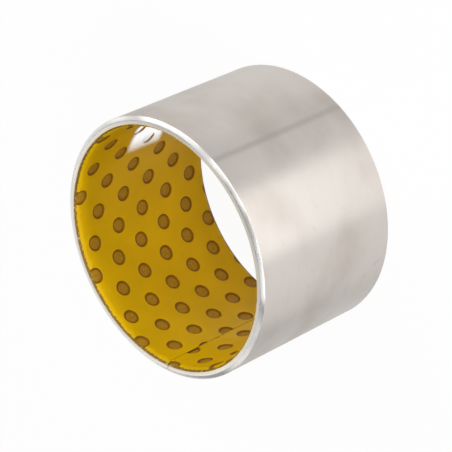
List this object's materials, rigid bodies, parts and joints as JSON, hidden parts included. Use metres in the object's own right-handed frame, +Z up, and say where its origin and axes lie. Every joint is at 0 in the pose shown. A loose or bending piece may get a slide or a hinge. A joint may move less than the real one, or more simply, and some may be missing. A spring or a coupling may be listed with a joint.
{
  "type": "sleeve bearing",
  "caption": "Wrapped sleeve bearing: chamfered steel shell with a butt joint, a thin bronze layer and a yellow plastic bore lining with staggered grease pockets.",
  "frame": {"origin": "centre of the lower end face, on which the sleeve stands", "axes": "+Z up along the bore, +X from the bore's axis towards the butt joint"},
  "size_m": [0.06, 0.06, 0.04],
  "materials": {
    "steel": "satin rolled steel with a thin tin flash, faint scuffs along the roll",
    "bronze": "sintered bronze, bared as a thin dark speckled line on the bore's chamfers",
    "acetal": "smooth yellow acetal with brown floors in the grease pockets"
  },
  "bodies": {
    "root": {"steel_backing": "steel", "bronze_interlayer": "bronze", "acetal_lining": "acetal"}
  },
  "joints": []
}
